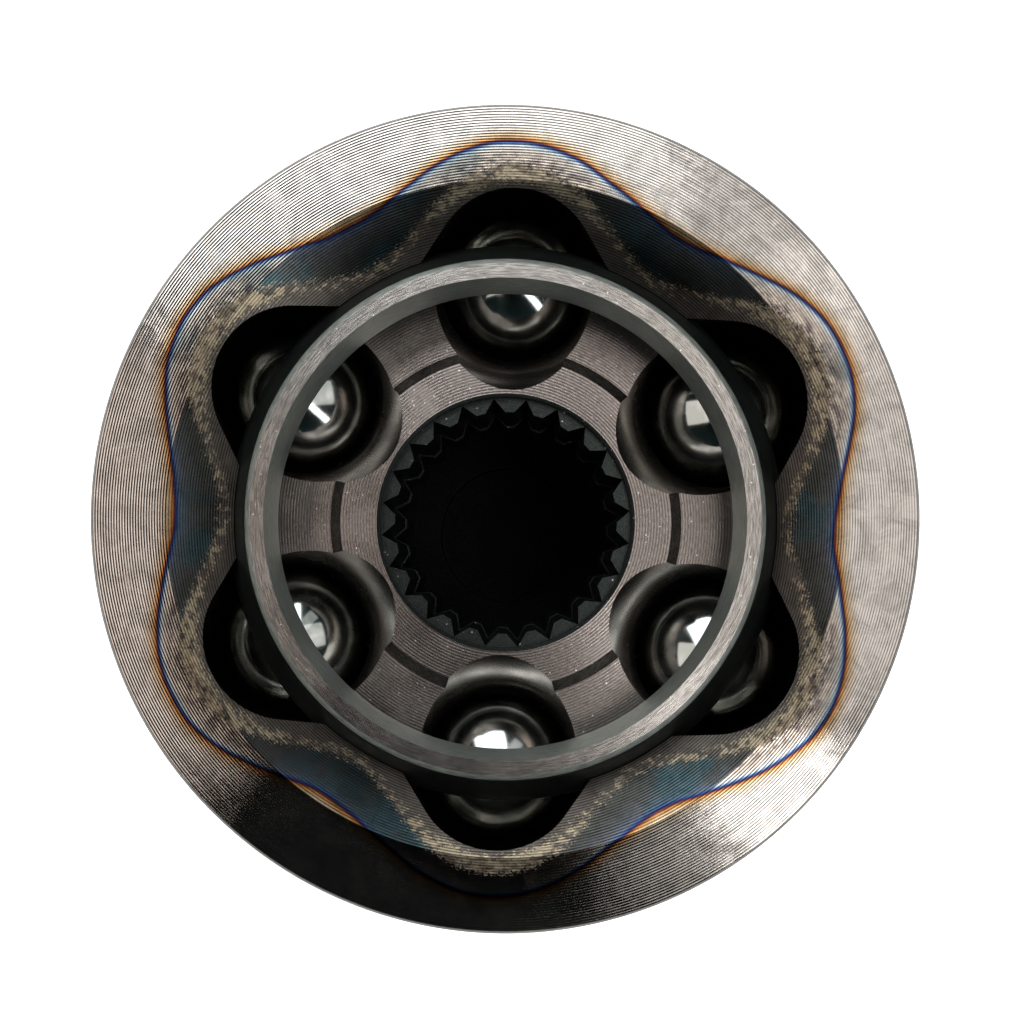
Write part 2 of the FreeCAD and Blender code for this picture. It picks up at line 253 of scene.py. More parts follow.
def bellOutline():
    slope = math.tan(math.radians(bell["mouthConeAngle"]))
    mouth, sphere, outer = bell["mouthHeight"], bell["sphereRadius"], bell["outerRadius"]
    # the cone runs down to where it meets the sphere
    zero = bell["mouthConeRadius"] - mouth * slope
    wide = 1 + slope * slope
    footHeight = (-zero * slope + math.sqrt(sphere ** 2 * wide - zero * zero)) / wide
    foot = (math.sqrt(sphere ** 2 - footHeight ** 2), footHeight)
    landEnd = (math.sqrt(sphere ** 2 - bell["landDepth"] ** 2), bell["landDepth"])
    seatTop = mouth - bell["bootSeatLip"]
    seatEnd = seatTop - 2 * bell["bootSeatSlope"] - bell["bootSeatWidth"]
    filletX = bell["neckRadius"] + bell["neckFillet"]
    filletZ = bell["domeCentre"] - math.sqrt((outer + bell["neckFillet"]) ** 2 - filletX ** 2)
    domeCentre = (0, bell["domeCentre"])
    domeAngle = angleTo(domeCentre, (filletX, filletZ))
    recessEnd = bell["bowlDepth"] - bell["recessDepth"]
    outline = [
        (bell["mouthConeRadius"], mouth),
        ((bell["mouthConeRadius"] + outer) / 2, mouth),
        (outer - bell["rimChamfer"], mouth),
        (outer, mouth - bell["rimChamfer"]),
        (outer, seatTop),
        (bell["bootSeatRadius"], seatTop - bell["bootSeatSlope"]),
        (bell["bootSeatRadius"], seatEnd + bell["bootSeatSlope"]),
        (outer, seatEnd),
    ]
    outline += arcPoints(domeCentre, outer, 0, domeAngle, bell["arcSteps"])
    outline += arcPoints(
        (filletX, filletZ), bell["neckFillet"], domeAngle + 180, 180, bell["filletSteps"]
    )[1:]
    outline += [
        (bell["neckRadius"], bell["shoulderHeight"] + bell["shoulderChamfer"]),
        (bell["neckRadius"] - bell["shoulderChamfer"], bell["shoulderHeight"]),
        (bell["backHoleRadius"], bell["shoulderHeight"]),
        (bell["backHoleRadius"], recessEnd - bell["backWall"]),
        (0, recessEnd - bell["backWall"]),
        (0, recessEnd),
        (bell["recessRadius"], recessEnd),
        (bell["recessRadius"], bell["bowlDepth"]),
        (bell["bowlFloorRadius"], bell["bowlDepth"]),
    ]
    bowl = angleTo(jointCentre, landEnd), angleTo(jointCentre, foot)
    outline += arcPoints(jointCentre, sphere, *bowl, bell["arcSteps"])
    return outline


# The finishes of the bell are 0 turned outside and mouth, 1 forged cavity painted near black for
# shade, 2 ground track.
def makeBell():
    obj = turnedWedge("bell", bellOutline(), ballPitch, bell["wedgeSteps"])
    flank = bell["flankAngle"]
    floor = arcPoints(trackCentre, trackSectionRadius, flank, 180 - flank, bell["floorSteps"])
    footReach = trackPathRadius - bell["flankReach"]
    footSide = floor[0][0] + (floor[0][1] - footReach) * math.tan(math.radians(flank))
    section = floor + [(-footSide, footReach), (footSide, footReach)]
    lowEnd, highEnd = bell["trackSweep"]
    track = sweptTrack(
        "track", section, joint["trackOffset"], lowEnd, highEnd, bell["trackSteps"]
    )
    cutAway(obj, [track])

    def turnedFinish(start, end):
        reach = max(math.hypot(*start), math.hypot(*end))
        within = reach < bell["outerRadius"] - bell["cavityWall"]
        below = max(start[1], end[1]) < bell["mouthHeight"] - bell["cavityDrop"]
        return 1 if within and below else 0

    markFinish(obj, bellOutline(), turnedFinish, lambda spot: 2)
    repeatWedge(obj, ballPitch)
    smoothTo(obj, bell["crispAngle"])
    return obj


stub = {
    "journalRadius": 14.0,
    "journalLength": 9.0,
    "journalFillet": 1.5,
    "journalChamfer": 0.5,
    "splineRadius": 13.1,
    "splineLength": 42.0,
    "splineChamfer": 1.5,
    "toothCount": 22,
    "toothHeight": 1.3,
    "gapAngle": 30.0,
    "gapFloor": 0.9,
    "cutterOver": 1.0,       # the cutter stands this far out of the teeth
    "cutterRunOut": 2.0,     # and runs this far past their end
    "undercutRadius": 8.4,
    "undercutLength": 3.6,
    "filletSteps": 8,
    "wedgeSteps": 14,
    "crispAngle": 30,
}

thread = {
    "radius": 10.0,
    "length": 20.0,
    "chamfer": 1.4,
    "pitch": 1.5,
    # one pitch of the ridge, as shares of the pitch and depths in mm: flat crest, flank, rounded
    # root, flank
    "ridge": [(0.0, 0.0), (0.125, 0.0), (0.44, 0.92), (0.56, 0.96), (0.69, 0.92)],
    "centreHoleRadius": 3.15,
    "centreHoleAngle": 30.0,
    "columns": 96,
    "crispAngle": 25,
}


def stubHeights():
    journalEnd = bell["shoulderHeight"] - stub["journalLength"]
    splineEnd = journalEnd - stub["splineLength"]
    return journalEnd, splineEnd, splineEnd - stub["undercutLength"]


def makeStub():
    top = bell["shoulderHeight"]
    journalEnd, splineEnd, threadTop = stubHeights()
    journal, fillet = stub["journalRadius"], stub["journalFillet"]
    width = 360 / stub["toothCount"]
    outline = [(0, top), (journal + fillet, top)]
    outline += arcPoints((journal + fillet, top - fillet), fillet, 90, 180, stub["filletSteps"])[1:]
    outline += [
        (journal, journalEnd + stub["journalChamfer"]),
        (journal - stub["journalChamfer"], journalEnd),
        (stub["splineRadius"], journalEnd),
        (stub["splineRadius"], splineEnd + stub["splineChamfer"]),
        (stub["splineRadius"] - stub["splineChamfer"], splineEnd),
        (stub["undercutRadius"], splineEnd),
        (stub["undercutRadius"], threadTop),
        (0, threadTop),
    ]
    obj = turnedWedge("stub_shaft", outline, width, stub["wedgeSteps"])
    root = stub["splineRadius"] - stub["toothHeight"]
    tip = stub["splineRadius"] + stub["cutterOver"]
    low = stub["gapFloor"] / 2
    high = low + (tip - root) * math.tan(math.radians(stub["gapAngle"]))
    section = [(-low, root), (low, root), (high, tip), (-high, tip)]
    cutAway(obj, [prism("gap", section, splineEnd - stub["cutterRunOut"], journalEnd)])
    repeatWedge(obj, width)
    smoothTo(obj, stub["crispAngle"])
    return obj


# A real helix: each row of points climbs by one pitch round the shaft, and the rows run out into
# the chamfers at both ends.
def makeThread():
    top = stubHeights()[2]
    end = top - thread["length"]
    columns = thread["columns"]
    endRadius = thread["radius"] - thread["chamfer"]
    verts, faces = [], []

    # one row of points round the shaft, and the faces between a row and the next
    def addRow(radiusAt, heightAt):
        for column in range(columns + 1):
            angle = 2 * math.pi * column / columns
            height = heightAt(column)
            radius = radiusAt(height)
            verts.append((radius * math.cos(angle), radius * math.sin(angle), height))

    def joinRows(first):
        for column in range(columns):
            here = first + column
            above = here + columns + 1
            faces.append((here, here + 1, above + 1, above))

    for turn in range(-1, int(thread["length"] / thread["pitch"]) + 2):
        for share, sink in thread["ridge"]:
            drop = (turn + share) * thread["pitch"]
            ridge = thread["radius"] - sink
            addRow(
                lambda height: min(ridge, endRadius + min(top - height, height - end)),
                lambda column: min(top, max(end, top - drop + thread["pitch"] * column / columns)),
            )
    for first in range(0, len(verts) - columns - 1, columns + 1):
        joinRows(first)

    # end face with the centre hole, and the flat towards the undercut
    hole = thread["centreHoleRadius"]
    holeEnd = end + hole / math.tan(math.radians(thread["centreHoleAngle"]))
    for pair in (
        [(endRadius, end), (hole, end)],
        [(hole, end), (0, holeEnd)],
        [(endRadius, top), (0, top)],
    ):
        joinRows(len(verts))
        for radius, height in pair:
            addRow(lambda _: radius, lambda _: height)
    obj = meshObject("hub_thread", verts, faces)
    smoothTo(obj, thread["crispAngle"])
    return obj


star = {
    "front": 10.4,
    "rear": 12.2,
    "sphereRadius": 26.3,
    "edge": 0.4,
    "bossRadius": 17.15,
    "bossStep": 1.0,
    "bossSlope": 1.2,
    "toothCount": 24,
    "toothRootRadius": 13.05,
    "toothTipRadius": 11.6,
    "gapWidth": 2.05,
    "cutterOver": 1.0,       # the cutter stands this far out of the teeth
    "cutterRunOut": 2.0,     # and runs this far past both ends
    "leadRadius": 13.1,
    "leadDepth": 1.1,
    "boreChamfer": 0.28,
    "ringGrooveRadius": 13.4,
    "ringGrooveStart": 11.1,
    "ringGrooveWidth": 2.4,
    "grooveSweep": (-60, 60),
    "wedgeSteps": 60,
    "arcSteps": 28,
    "sectionSteps": 96,
    "grooveSteps": 80,
    "crispAngle": 22,
}


# The finishes of the star are 0 turned faces, 1 ground groove and 2 broached bore, painted dark for
# shade.
def makeStar():
    front, rear = star["front"], -star["rear"]
    tip, root, sphere = star["toothTipRadius"], star["toothRootRadius"], star["sphereRadius"]
    land = front - star["bossStep"]
    grooveTop = front - star["ringGrooveStart"]
    grooveEnd = grooveTop - star["ringGrooveWidth"]

    def onSphere(height):
        return (math.sqrt(sphere ** 2 - height ** 2), height)

    frontEdge, rearEdge = onSphere(land - star["edge"]), onSphere(rear + star["edge"])
    outline = [
        (star["leadRadius"] + star["boreChamfer"], front),
        (star["leadRadius"], front - star["boreChamfer"]),
        (star["leadRadius"], front - star["leadDepth"]),
        (tip, front - star["leadDepth"]),
        (tip, grooveTop),
        (star["ringGrooveRadius"], grooveTop),
        (star["ringGrooveRadius"], grooveEnd),
        (tip, grooveEnd),
        (tip, rear + star["leadDepth"]),
        (star["leadRadius"], rear),
        (rearEdge[0] - star["edge"], rear),
    ]
    ends = angleTo(jointCentre, rearEdge), angleTo(jointCentre, frontEdge)
    outline += arcPoints(jointCentre, sphere, *ends, star["arcSteps"])
    outline += [
        (frontEdge[0] - star["edge"], land),
        (star["bossRadius"] + star["bossSlope"], land),
        (star["bossRadius"], front),
    ]
    obj = turnedWedge("inner_race_star", outline, ballPitch, star["wedgeSteps"])

    steps = star["sectionSteps"]
    section = arcPoints(trackCentre, trackSectionRadius, 0, 360 - 360 / steps, steps - 1)
    lowEnd, highEnd = star["grooveSweep"]
    tools = [
        sweptTrack("groove", section, -joint["trackOffset"], lowEnd, highEnd, star["grooveSteps"])
    ]
    inside = tip - star["cutterOver"]
    half = star["gapWidth"] / 2 * (root - inside) / (root - tip)
    pitch = 360 / star["toothCount"]
    for i in range(round(ballPitch / pitch)):
        turn = math.radians((i + 0.5) * pitch - ballPitch / 2)
        gap = [
            (x * math.cos(turn) - y * math.sin(turn), x * math.sin(turn) + y * math.cos(turn))
            for x, y in ((0, root), (-half, inside), (half, inside))
        ]
        tools.append(
            prism("gap", gap, rear - star["cutterRunOut"], front + star["cutterRunOut"])
        )
    cutAway(obj, tools)

    bore = star["ringGrooveRadius"] + 0.05  # a little over, so that the groove's edges count too
    markFinish(
        obj, outline,
        lambda start, end: 2 if max(start[0], end[0]) < bore else 0,
        lambda spot: 2 if spot.x < bore else 1,
    )
    repeatWedge(obj, ballPitch)
    smoothTo(obj, star["crispAngle"])
    return obj


cage = {
    "sphereRadius": 30.4,
    "wall": 4.0,
    "halfWidth": 17.1,
    "boreRadius": 22.95,
    "leadWidth": 0.52,
    "leadDepth": 2.3,
    "edgeWidth": 0.52,
    "edgeHeight": 0.38,
    "windowPlay": 0.35,
    "windowSlack": 1.5,
    "windowCorner": 3.5,
    "cutterReach": (15, 40),
    "wedgeSteps": 60,
    "insideSteps": 24,
    "outsideSteps": 40,
    "cornerSteps": 12,
    "crispAngle": 25,
}


# The finishes of the cage are 0 end faces, 1 bevels and leads, and 2 outside and windows, the
# last painted dark for shade.
def makeCage():
    bore, top = cage["boreRadius"], cage["halfWidth"]
    inner = cage["sphereRadius"] - cage["wall"]
    edgeFoot = top - cage["edgeHeight"]
    end = (math.sqrt(cage["sphereRadius"] ** 2 - edgeFoot ** 2), edgeFoot)
    lead = bore + cage["leadWidth"]
    upper = [(end[0] - cage["edgeWidth"], top), (lead, top), (bore, top - cage["leadDepth"])]
    lower = [(radius, -height) for radius, height in reversed(upper)]
    angle = angleTo(jointCentre, (bore, math.sqrt(inner ** 2 - bore ** 2)))
    outline = upper + arcPoints(jointCentre, inner, angle, -angle, cage["insideSteps"]) + lower
    angle = angleTo(jointCentre, end)
    outline += arcPoints(jointCentre, cage["sphereRadius"], -angle, angle, cage["outsideSteps"])
    obj = turnedWedge("ball_cage", outline, ballPitch, cage["wedgeSteps"])

    corner = cage["windowCorner"]
    high = joint["ballRadius"] + cage["windowPlay"] - corner
    wide = joint["ballRadius"] + cage["windowSlack"] - corner
    window = []
    corners = ((wide, high, 0), (-wide, high, 90), (-wide, -high, 180), (wide, -high, 270))
    for x, y, start in corners:
        window += arcPoints((x, y), corner, start, start + 90, cage["cornerSteps"])
    cutAway(obj, [prism("window", window, *cage["cutterReach"], upright=True)])

    def turnedFinish(start, end):
        close = 0.01
        low = min(abs(start[1]), abs(end[1]))
        if low > top - close:
            return 0
        onBevel = low > edgeFoot - close or max(start[0], end[0]) < lead + close
        return 1 if onBevel else 2

    markFinish(obj, outline, turnedFinish, lambda spot: 2)
    repeatWedge(obj, ballPitch)
    smoothTo(obj, cage["crispAngle"])
    return obj


ball = {
    "gridCuts": 31,
    "turnAxis": (0.4, 0.7, 0.6),  # each ball lies another way round, so no two look alike
    "firstTurn": 11,
    "nextTurn": 37,
}


def makeBall(index):
    bm = bmesh.new()
    bmesh.ops.create_cube(bm, size=2)
    bmesh.ops.subdivide_edges(bm, edges=bm.edges, cuts=ball["gridCuts"], use_grid_fill=True)
    for vert in bm.verts:
        # evens out the cube's grid before it is pushed out to the ball
        spread = Vector([math.tan(share * math.pi / 4) for share in vert.co])
        vert.co = spread.normalized() * joint["ballRadius"] * mm
    name = f"bearing_ball_{index + 1}"
    mesh = bpy.data.meshes.new(name)
    bm.to_mesh(mesh)
    bm.free()
    mesh.shade_smooth()
    angle = math.radians(90 + ballPitch * index)
    reach = joint["ballCircleRadius"] * mm
    place = Matrix.Translation((reach * math.cos(angle), reach * math.sin(angle), 0))
    turn = math.radians(ball["nextTurn"] * index + ball["firstTurn"])
    mesh.transform(place @ Matrix.Rotation(turn, 4, Vector(ball["turnAxis"])))
    return newObject(name, mesh)


def fromHex(code):
    # sRGB hex to Blender's linear colour
    tone = [int(code[i:i + 2], 16) / 255 for i in (1, 3, 5)]
    linear = [c / 12.92 if c <= 0.04045 else ((c + 0.055) / 1.055) ** 2.4 for c in tone]
    return tuple(linear) + (1.0,)


# Adds a node with its settings, links and colour stops, and gives back the socket it puts out.
# In a Map Range, sockets 1 and 2 are the range that comes in, and 3 and 4 the one that goes out.
def addNode(tree, kind, sockets, out=0, stops=(), **settings):
    node = tree.nodes.new("ShaderNode" + kind)
    for name, value in settings.items():
        setattr(node, name, value)
    for name, value in sockets.items():
        if isinstance(value, bpy.types.NodeSocket):
            tree.links.new(value, node.inputs[name])
        else:
            node.inputs[name].default_value = value
    for number, (place, colour) in enumerate(stops):
        ramp = node.color_ramp.elements
        stop = ramp[number] if number < 2 else ramp.new(place)
        stop.position, stop.color = place, fromHex(colour)
    return node.outputs[out] if node.outputs else node


# Settings of a Mix that blends two colours, in sockets 6 and 7, and of one that darkens the
# first by the second.
blended = {"out": 2, "data_type": "RGBA"}
darkened = {"out": 2, "data_type": "RGBA", "blend_type": "MULTIPLY"}


def newMaterial(name):
    material = bpy.data.materials.new(name)
    material.use_nodes = True
    material.node_tree.nodes.clear()
    return material, material.node_tree


# Where a point lies round the joint's axis: the place in mm, the distance from the axis, the
# angle round it and the height.
def aroundAxis(tree):
    place = addNode(tree, "TexCoord", {}, out="Object")
    place = addNode(tree, "VectorMath", {0: place, "Scale": 1 / mm}, operation="SCALE")
    x, y, height = addNode(tree, "SeparateXYZ", {0: place}).node.outputs
    flat = addNode(tree, "CombineXYZ", {0: x, 1: y})
    radius = addNode(tree, "VectorMath", {0: flat}, out="Value", operation="LENGTH")
    angle = addNode(tree, "Math", {0: y, 1: x}, operation="ARCTAN2")
    return place, radius, angle, height


# A point for noise that is stretched round the axis: width across the streaks and length along
# them, in mm, where the radius is about reach.
def streakSpot(tree, radius, angle, height, width, length, reach):
    across = addNode(tree, "Math", {0: radius, 1: height}, operation="ADD")
    across = addNode(tree, "Math", {0: across, 1: 1 / width}, operation="MULTIPLY")
    along = addNode(tree, "Math", {0: angle, 1: reach / length}, operation="MULTIPLY")
    return addNode(tree, "CombineXYZ", {0: across, 1: along, 2: height})


turnedSteel = {
    "name": "bearing_steel_turned_heat_tinted",
    "roughness": 0.115,
    "handledRoughness": 0.145,
    "dullRoughness": 0.4,
    "grain": 0.85,
    "outside": "#86827D",
    "mouthHeight": 12.0,     # tint and scale lie above this height only
    "mouthEdge": 0.3,        # and fade in this far to each side of it

    # lathe lines, in mm
    "linePitch": 0.26,       # feed of the turning tool
    "lineHeight": 0.0055,
    "faintLine": 0.6,        # share of that height in the faintest line
    "deepLine": 1.15,        # and in the deepest
    # painted shade: the bottom of each lathe line is painted darker by this share
    "coneClimb": 0.25,       # on the cone a mm of height counts for this much of one
    "grooveShade": 0.3,      # how dark the bottom of a line is
    "handledSize": 4.167,    # patches where handling has flattened the lines
    "untouched": 1.15,
    "flattened": 0.5,        # on the mouth
    "flattenedOutside": 0.9,

    # smears of oil and dirt, in mm
    "smearSize": 2.0,
    "smearShade": 0.68,      # how dark they are on the mouth
    "smearShadeOutside": 0.9,
    "wipeWidth": 3.2,
    "wipeLength": 7.5,
    "wipeRadius": 34.0,      # where that length is measured
    "wipeShare": 0.75,
    "wiped": "#6E6878",      # purplish wipes between the navy line and the cone

    # painted shade: the chamfer round the mouth is painted darker
    "rimShade": 0.3,
    "rimInside": (0.45, 0.3),    # where the stain starts, in mm from the outside
    "rimBelow": (0.6, 0.4),      # and in mm from the top

    # heat tint: its navy line waves round the tracks at this radius, in mm
    "tintMean": 34.1,
    "tintWave": 2.25,
    "tintWander": 0.6,
    "wanderSize": 7.692,
    "tintReach": (-4.0, 2.0),    # how far in and out of the line the colours go
    # colours by mm outwards from the navy line, from inside to bare steel
    "tintBands": [
        (-2.0, "#454745"), (-0.8, "#505356"), (-0.3, "#566070"), (-0.13, "#36507A"),
        (0.0, "#2B2F5C"), (0.1, "#5E3238"), (0.2, "#9C6434"), (0.35, "#B88E5C"),
        (0.7, "#C2B097"), (1.6, "#D8D4CE"),
    ],
    # the flat face inside the line: a sky blue film, then pale steel
    "faceBands": [(-2.0, "#B8AEA2"), (-0.75, "#B8B0A6"), (-0.45, "#B3BBC0"), (-0.25, "#8CA4BA")],
    "cloudSize": 6.25,
    "cloudShare": 0.5,
    "teal": "#2F5560",

    # beige scale round the tracks, in mm
    "scaleMean": 31.4,
    "scaleWave": 2.85,
    "scaleWidth": 0.7,
    "scaleSpread": 0.9,      # how much wider the scale is round a track
    "scaleRagged": 3.2,      # how far its edge strays
    "flakeWidth": 1.1,
    "flakeLength": 1.4,
    "flakeGrain": 1.3,       # how much finer the gaps in the scale are
    "flakeRadius": 30.0,     # where their length is measured
    "flakeShare": 0.85,
    "scale": "#D8CBAE",
    "scaleDark": "#8A7E68",
    "dull": "#5E5A56",       # steel on the inner side of the scale
}


# Bearing steel, turned and then hardened by heat: bright lathe lines, a thin line of straw,
# purple and blue tint that follows the six tracks, and ragged beige scale nearer to them.
def makeTurnedSteel():
    look = turnedSteel
    steel, tree = newMaterial(look["name"])
    place, radius, angle, height = aroundAxis(tree)
    # -1 over the middle of each track and 1 half way between two
    sixfold = addNode(tree, "Math", {0: angle, 1: float(joint["ballCount"])}, operation="MULTIPLY")
    sixfold = addNode(tree, "Math", {0: sixfold}, operation="COSINE")
    overTrack = addNode(tree, "MapRange", {0: sixfold, 1: 0.3, 2: -1.0})
    # how far up the surface faces tells the flat mouth face from the cone, and both from the rest
    normal = addNode(tree, "NewGeometry", {}, out="True Normal")
    facing = addNode(tree, "SeparateXYZ", {0: normal}, out=2)
    onFace = addNode(tree, "MapRange", {0: facing, 1: 0.8, 2: 0.95})
    upward = addNode(tree, "MapRange", {0: facing, 1: 0.1, 2: 0.3})
    atMouth = addNode(tree, "MapRange", {
        0: height,
        1: look["mouthHeight"] - look["mouthEdge"],
        2: look["mouthHeight"] + look["mouthEdge"],
    })
    atMouth = addNode(tree, "Math", {0: atMouth, 1: upward}, operation="MULTIPLY")

    # heat tint, by its distance outwards from the navy line
    wander = addNode(tree, "TexNoise", {
        "Vector": place, "Scale": 1 / look["wanderSize"], "Detail": 2.0,
    })
    wander = addNode(tree, "Math", {
        0: wander, 1: look["tintWander"], 2: -look["tintWander"] / 2 - look["tintMean"],
    }, operation="MULTIPLY_ADD")
    tint = addNode(tree, "Math", {
        0: sixfold, 1: look["tintWave"], 2: radius,
    }, operation="MULTIPLY_ADD")
    tint = addNode(tree, "Math", {0: tint, 1: wander}, operation="ADD")
    inmost, outmost = look["tintReach"]
    tintPlace = addNode(tree, "MapRange", {0: tint, 1: inmost, 2: outmost})

    def bandStops(bands):
        return [((gap - inmost) / (outmost - inmost), colour) for gap, colour in bands]

    tinted = addNode(tree, "ValToRGB", {0: tintPlace}, stops=bandStops(look["tintBands"]))

    # inside the line the flat face is paler than the cone, with teal clouds here and there
    withinLine = addNode(tree, "MapRange", {0: tint, 1: -0.14, 2: -0.34})
    paler = addNode(tree, "Math", {0: withinLine, 1: onFace}, operation="MULTIPLY")
    face = addNode(tree, "ValToRGB", {0: tintPlace}, stops=bandStops(look["faceBands"]))
    tinted = addNode(tree, "Mix", {0: paler, 6: tinted, 7: face}, **blended)
    clouds = addNode(tree, "TexNoise", {
        "Vector": place, "Scale": 1 / look["cloudSize"], "Detail": 3.0,
    })
    clouds = addNode(tree, "MapRange", {0: clouds, 1: 0.5, 2: 0.64, 4: look["cloudShare"]})
    clouds = addNode(tree, "Math", {0: clouds, 1: withinLine}, operation="MULTIPLY")
    tinted = addNode(tree, "Mix", {0: clouds, 6: tinted, 7: fromHex(look["teal"])}, **blended)

    # ragged beige scale, and dull steel on its inner side
    spot = streakSpot(
        tree, radius, angle, height, look["flakeWidth"], look["flakeLength"], look["flakeRadius"]
    )
    ragged = addNode(tree, "TexNoise", {"Vector": spot, "Detail": 5.0, "Roughness": 0.7})
    edge = addNode(tree, "Math", {
        0: sixfold, 1: look["scaleWave"], 2: radius,
    }, operation="MULTIPLY_ADD")
    edge = addNode(tree, "Math", {0: edge, 1: look["scaleMean"]}, operation="SUBTRACT")
    edge = addNode(tree, "Math", {
        0: ragged, 1: look["scaleRagged"], 2: edge,
    }, operation="MULTIPLY_ADD")
    beyond = addNode(tree, "MapRange", {0: edge, 1: 1.4, 2: 1.65})
    reach = addNode(tree, "Math", {
        0: overTrack, 1: look["scaleSpread"], 2: look["scaleWidth"],
    }, operation="MULTIPLY_ADD")
    onScale = addNode(tree, "Math", {0: edge, 1: reach}, operation="ADD")
    onScale = addNode(tree, "MapRange", {0: onScale, 1: 1.3, 2: 1.6})
    flakes = addNode(tree, "TexNoise", {
        "Vector": spot, "Scale": look["flakeGrain"], "Detail": 6.0, "Roughness": 0.72,
    })
    flakes = addNode(tree, "Math", {0: overTrack, 1: 0.1, 2: flakes}, operation="MULTIPLY_ADD")
    flakes = addNode(tree, "MapRange", {0: flakes, 1: 0.5, 2: 0.56})
    onScale = addNode(tree, "Math", {0: onScale, 1: flakes}, operation="MULTIPLY")
    scaly = addNode(tree, "Math", {0: onScale, 1: beyond}, operation="SUBTRACT", use_clamp=True)
    colour = addNode(tree, "Mix", {0: beyond, 6: fromHex(look["dull"]), 7: tinted}, **blended)
    scaleShare = addNode(tree, "Math", {0: scaly, 1: look["flakeShare"]}, operation="MULTIPLY")
    scaleColour = addNode(tree, "Mix", {
        0: ragged, 6: fromHex(look["scaleDark"]), 7: fromHex(look["scale"]),
    }, **blended)
    colour = addNode(tree, "Mix", {0: scaleShare, 6: colour, 7: scaleColour}, **blended)
    colour = addNode(tree, "Mix", {0: atMouth, 6: fromHex(look["outside"]), 7: colour}, **blended)

    # lathe lines: one groove each turn, some deeper, flattened where the steel has been handled
    climb = addNode(tree, "MapRange", {0: facing, 1: 0.2, 2: 0.3, 3: 1.0, 4: look["coneClimb"]})
    turns = addNode(tree, "Math", {0: height, 1: climb, 2: radius}, operation="MULTIPLY_ADD")
    turns = addNode(tree, "Math", {0: turns, 1: 1 / look["linePitch"]}, operation="MULTIPLY")
    wave = addNode(tree, "Math", {0: turns, 1: 2 * math.pi}, operation="MULTIPLY")
    wave = addNode(tree, "Math", {0: wave}, operation="SINE")
    number = addNode(tree, "Math", {0: turns}, operation="FLOOR")
    each = addNode(tree, "TexNoise", {"W": number, "Scale": 1.7}, noise_dimensions="1D")
    each = addNode(tree, "MapRange", {
        0: each, 1: 0.3, 2: 0.7, 3: look["faintLine"], 4: look["deepLine"],
    })
    handled = addNode(tree, "TexNoise", {
        "Vector": place, "Scale": 1 / look["handledSize"],
        "Detail": 6.0, "Roughness": 0.68, "Distortion": 1.0,
    })
    handled = addNode(tree, "MapRange", {0: handled, 1: 0.47, 2: 0.62})
    flattened = addNode(tree, "MapRange", {
        0: atMouth, 3: look["flattenedOutside"], 4: look["flattened"],
    })
    depth = addNode(tree, "MapRange", {0: handled, 3: look["untouched"], 4: flattened})
    depth = addNode(tree, "Math", {0: depth, 1: each}, operation="MULTIPLY")
    depth = addNode(tree, "Math", {0: depth, 1: wave}, operation="MULTIPLY")
    lift = addNode(tree, "Math", {0: depth, 1: look["lineHeight"]}, operation="MULTIPLY")
    bump = addNode(tree, "Bump", {"Height": lift, "Distance": mm})
    # painted shade: the bottom of each lathe line is darkened in colour
    groove = addNode(tree, "MapRange", {0: depth, 1: -0.8, 2: 0.4, 3: look["grooveShade"]})
    colour = addNode(tree, "Mix", {0: 1.0, 6: colour, 7: groove}, **darkened)

    # wipes inside the navy line, and smears everywhere
    wipeSpot = streakSpot(
        tree, radius, angle, height, look["wipeWidth"], look["wipeLength"], look["wipeRadius"]
    )
    wiped = addNode(tree, "TexNoise", {"Vector": wipeSpot, "Detail": 6.0, "Roughness": 0.72})
    wiped = addNode(tree, "MapRange", {0: wiped, 1: 0.56, 2: 0.43, 4: look["wipeShare"]})
    wiped = addNode(tree, "Math", {0: wiped, 1: onFace}, operation="MULTIPLY")
    wellWithin = addNode(tree, "MapRange", {0: tint, 1: -0.7, 2: -1.5})
    wiped = addNode(tree, "Math", {0: wiped, 1: wellWithin}, operation="MULTIPLY")
    colour = addNode(tree, "Mix", {0: wiped, 6: colour, 7: fromHex(look["wiped"])}, **darkened)
    smears = addNode(tree, "TexNoise", {
        "Vector": place, "Scale": 1 / look["smearSize"],
        "Detail": 6.0, "Roughness": 0.75, "Distortion": 0.7,
    })
    smearShade = addNode(tree, "MapRange", {
        0: atMouth, 3: look["smearShadeOutside"], 4: look["smearShade"],
    })
    smears = addNode(tree, "MapRange", {0: smears, 1: 0.36, 2: 0.58, 3: smearShade})
    colour = addNode(tree, "Mix", {0: 1.0, 6: colour, 7: smears}, **darkened)

    # painted shade on the chamfer round the mouth
    rimStart, rimFull = [bell["outerRadius"] - gap for gap in look["rimInside"]]
    atRim = addNode(tree, "MapRange", {0: radius, 1: rimStart, 2: rimFull})
    topStart, topFull = [bell["mouthHeight"] - gap for gap in look["rimBelow"]]
    atTop = addNode(tree, "MapRange", {0: height, 1: topStart, 2: topFull})
    atRim = addNode(tree, "Math", {0: atRim, 1: atTop}, operation="MULTIPLY")
    rimShade = addNode(tree, "MapRange", {0: atRim, 3: 1.0, 4: look["rimShade"]})
    colour = addNode(tree, "Mix", {0: 1.0, 6: colour, 7: rimShade}, **darkened)

